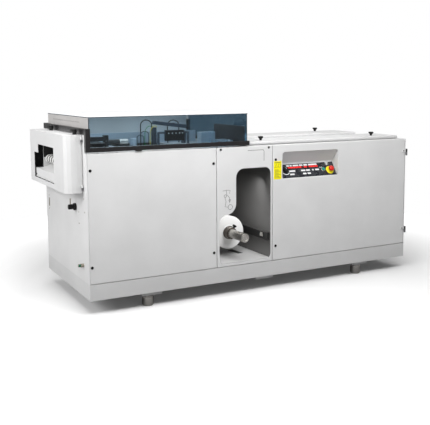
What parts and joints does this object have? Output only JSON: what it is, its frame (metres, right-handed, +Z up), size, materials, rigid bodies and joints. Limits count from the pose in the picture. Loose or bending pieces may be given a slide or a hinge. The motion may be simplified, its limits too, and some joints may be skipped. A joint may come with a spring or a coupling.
{
  "type": "film wrapping machine",
  "caption": "Floor-standing machine that wraps goods in film from a reel held in a front bay, with a tinted lift-up canopy and a guarded discharge end.",
  "frame": {"origin": "bottom centre of the whole machine's box, on the floor", "axes": "+X along the operator's side away from the discharge end, +Y from the operator to the back, +Z up"},
  "size_m": [2.688, 1.006, 1.24],
  "materials": {
    "base_paint": "powder coat",
    "foot_steel": "turned, plated",
    "panel_paint": "fine textured powder coat",
    "table_steel": "brushed",
    "bay_paint": "dark powder coat",
    "black_steel": "blackened, satin",
    "black_plastic": "moulded, satin",
    "hinge_steel": "grey paint",
    "tray_plastic": "moulded",
    "panel_film": "printed foil",
    "display_red": "clear filter",
    "button_green": "moulded",
    "collar_yellow": "moulded",
    "button_red": "moulded",
    "canopy_black": "satin powder coat",
    "canopy_tint": "blue tinted clear sheet",
    "canopy_white": "glossy sheet",
    "bright_steel": "turned",
    "belt_white": "smooth belt",
    "chute_plastic": "smooth",
    "fitting_brass": "plated",
    "film_white": "wound film",
    "collar_steel": "turned, dark",
    "beam_paint": "dark paint",
    "unit_aluminium": "anodised",
    "hose_rubber": "matt",
    "switchgear_plastic": "moulded",
    "motor_paint": "enamel"
  },
  "bodies": {
    "cabinet": {"base_frame": "base_paint", "left_end_wall": "panel_paint", "right_end_wall": "panel_paint", "rear_panels": "panel_paint", "deck_plate": "panel_paint", "wrapping_table": "table_steel", "bay_side_wall": "bay_paint", "bay_floor": "table_steel", "bay_back_plate": "bay_paint", "bay_rail": "black_steel", "centre_panel": "panel_paint", "centre_panel_screws": "black_steel", "fixed_hinges": "hinge_steel", "discharge_belts": "belt_white", "discharge_chute": "chute_plastic", "end_wall_fittings": "fitting_brass", "guide_rail": "black_steel", "cross_beam": "beam_paint", "table_units": "unit_aluminium", "hose_loops": "hose_rubber", "switchgear": "switchgear_plastic", "drive_motor": "motor_paint"},
    "foot_front_left": {"foot_front_left": "foot_steel"},
    "foot_front_right": {"foot_front_right": "foot_steel"},
    "foot_rear_left": {"foot_rear_left": "foot_steel"},
    "foot_rear_right": {"foot_rear_right": "foot_steel"},
    "left_panel": {"left_panel": "panel_paint", "left_panel_locks": "black_plastic"},
    "right_door": {"right_door": "panel_paint", "door_locks": "black_plastic", "control_tray": "tray_plastic", "control_panel": "panel_film", "display_window": "display_red", "stop_collar": "collar_yellow"},
    "speed_knob": {"speed_knob": "black_plastic"},
    "start_button": {"start_button": "button_green"},
    "stop_head": {"stop_head": "button_red"},
    "front_top_cover": {"front_top_cover": "panel_paint"},
    "rear_top_cover": {"rear_top_cover": "panel_paint"},
    "star_knob_left": {"star_knob_left": "black_plastic"},
    "star_knob_right": {"star_knob_right": "black_plastic"},
    "star_knob_rear": {"star_knob_rear": "black_plastic"},
    "canopy": {"canopy_frame": "canopy_black", "canopy_window": "canopy_tint", "canopy_sheets": "canopy_white"},
    "discharge_guard": {"discharge_guard": "panel_paint"},
    "guard_catch_front": {"guard_catch_front": "black_plastic"},
    "guard_catch_rear": {"guard_catch_rear": "black_plastic"},
    "discharge_roller": {"discharge_roller": "bright_steel"},
    "grip_knob": {"grip_knob": "black_plastic"},
    "film_spindle": {"film_spindle": "bright_steel", "film_reel": "film_white", "reel_collar": "collar_steel"},
    "collar_knob": {"collar_knob": "black_plastic"},
    "dancer_arm": {"dancer_arm": "black_steel"},
    "dancer_roller": {"dancer_roller": "bright_steel"},
    "carriage": {"carriage": "black_plastic"},
    "motor_pulley": {"motor_pulley": "bright_steel"},
    "main_shaft": {"main_shaft": "bright_steel"},
    "isolator_handle": {"isolator_handle": "button_red"}
  },
  "joints": [
    {"name": "foot_front_left_adjust", "type": "slide", "parent": "cabinet", "child": "foot_front_left", "axis": [0, 0, -1], "range_m": [0, 0.015]},
    {"name": "foot_rear_left_adjust", "type": "slide", "parent": "cabinet", "child": "foot_rear_left", "axis": [0, 0, -1], "range_m": [0, 0.015]},
    {"name": "foot_front_right_adjust", "type": "slide", "parent": "cabinet", "child": "foot_front_right", "axis": [0, 0, -1], "range_m": [0, 0.015]},
    {"name": "foot_rear_right_adjust", "type": "slide", "parent": "cabinet", "child": "foot_rear_right", "axis": [0, 0, -1], "range_m": [0, 0.015]},
    {"name": "left_panel_lift_off", "type": "slide", "parent": "cabinet", "child": "left_panel", "axis": [0, -1, 0], "range_m": [0, 0.3]},
    {"name": "door_swing", "type": "hinge", "parent": "cabinet", "child": "right_door", "pos_m": [1.315, -0.496, 0.095], "axis": [0, 0, 1], "range_deg": [0, 110]},
    {"name": "speed_knob_turn", "type": "hinge", "parent": "right_door", "child": "speed_knob", "pos_m": [0.234, -0.45144, 0.82679], "axis": [0, -0.8192, 0.5736], "range_deg": [-150, 150]},
    {"name": "start_button_press", "type": "slide", "parent": "right_door", "child": "start_button", "axis": [0, 0.8192, -0.5736], "range_m": [0, 0.003], "stiffness_N_per_m": 300, "springref_m": -0.003},
    {"name": "stop_head_press", "type": "slide", "parent": "right_door", "child": "stop_head", "axis": [0, 0.8192, -0.5736], "range_m": [0, 0.006], "stiffness_N_per_m": 600, "springref_m": -0.004},
    {"name": "front_cover_lift_off", "type": "slide", "parent": "cabinet", "child": "front_top_cover", "axis": [0, 0, 1], "range_m": [0, 0.2]},
    {"name": "rear_cover_lift_off", "type": "slide", "parent": "cabinet", "child": "rear_top_cover", "axis": [0, 0, 1], "range_m": [0, 0.2]},
    {"name": "star_knob_left_turn", "type": "hinge", "parent": "front_top_cover", "child": "star_knob_left", "pos_m": [0.097, -0.338, 1.015], "axis": [0, 0, 1], "continuous": true},
    {"name": "star_knob_right_turn", "type": "hinge", "parent": "front_top_cover", "child": "star_knob_right", "pos_m": [1.078, -0.358, 1.015], "axis": [0, 0, 1], "continuous": true},
    {"name": "star_knob_rear_turn", "type": "hinge", "parent": "rear_top_cover", "child": "star_knob_rear", "pos_m": [0.883, 0.107, 1.015], "axis": [0, 0, 1], "continuous": true},
    {"name": "canopy_swing", "type": "hinge", "parent": "cabinet", "child": "canopy", "pos_m": [-1.232, 0.497, 1.131], "axis": [-1, 0, 0], "range_deg": [0, 75]},
    {"name": "guard_swing", "type": "hinge", "parent": "cabinet", "child": "discharge_guard", "pos_m": [-1.24, -0.421, 0.095], "axis": [0, 0, 1], "range_deg": [0, 90]},
    {"name": "guard_catch_front_turn", "type": "hinge", "parent": "discharge_guard", "child": "guard_catch_front", "pos_m": [-1.258, -0.343, 1.128], "axis": [0, 0, 1], "range_deg": [0, 90]},
    {"name": "guard_catch_rear_turn", "type": "hinge", "parent": "discharge_guard", "child": "guard_catch_rear", "pos_m": [-1.258, 0.207, 1.128], "axis": [0, 0, 1], "range_deg": [0, 90]},
    {"name": "discharge_roller_spin", "type": "hinge", "parent": "cabinet", "child": "discharge_roller", "pos_m": [-1.27, -0.493, 0.933], "axis": [0, 1, 0], "continuous": true},
    {"name": "grip_knob_turn", "type": "hinge", "parent": "cabinet", "child": "grip_knob", "pos_m": [-1.232, -0.24, 0.659], "axis": [1, 0, 0], "range_deg": [-180, 180]},
    {"name": "film_spindle_spin", "type": "hinge", "parent": "cabinet", "child": "film_spindle", "pos_m": [-0.119, -0.493, 0.382], "axis": [0, 1, 0], "continuous": true},
    {"name": "collar_knob_turn", "type": "hinge", "parent": "film_spindle", "child": "collar_knob", "pos_m": [-0.119, -0.285, 0.382], "axis": [0.5592, 0, 0.829], "range_deg": [-180, 180]},
    {"name": "dancer_swing", "type": "hinge", "parent": "cabinet", "child": "dancer_arm", "pos_m": [-0.247, -0.493, 0.735], "axis": [0, 1, 0], "range_deg": [-15, 15]},
    {"name": "dancer_roller_spin", "type": "hinge", "parent": "dancer_arm", "child": "dancer_roller", "pos_m": [-0.112, -0.493, 0.565], "axis": [0, 1, 0], "continuous": true},
    {"name": "carriage_travel", "type": "slide", "parent": "cabinet", "child": "carriage", "axis": [1, 0, 0], "range_m": [-0.04, 0.03]},
    {"name": "main_shaft_spin", "type": "hinge", "parent": "cabinet", "child": "main_shaft", "pos_m": [1.068, -0.493, 0.655], "axis": [0, 1, 0], "continuous": true},
    {"name": "motor_pulley_spin", "type": "hinge", "parent": "cabinet", "child": "motor_pulley", "pos_m": [1.068, -0.493, 0.425], "axis": [0, 1, 0], "continuous": true},
    {"name": "isolator_turn", "type": "hinge", "parent": "cabinet", "child": "isolator_handle", "pos_m": [1.308, 0.007, 0.735], "axis": [1, 0, 0], "range_deg": [0, 90]}
  ],
  "couplings": [
    {"joint": "motor_pulley_spin", "follows": "main_shaft_spin", "ratio": 2}
  ]
}
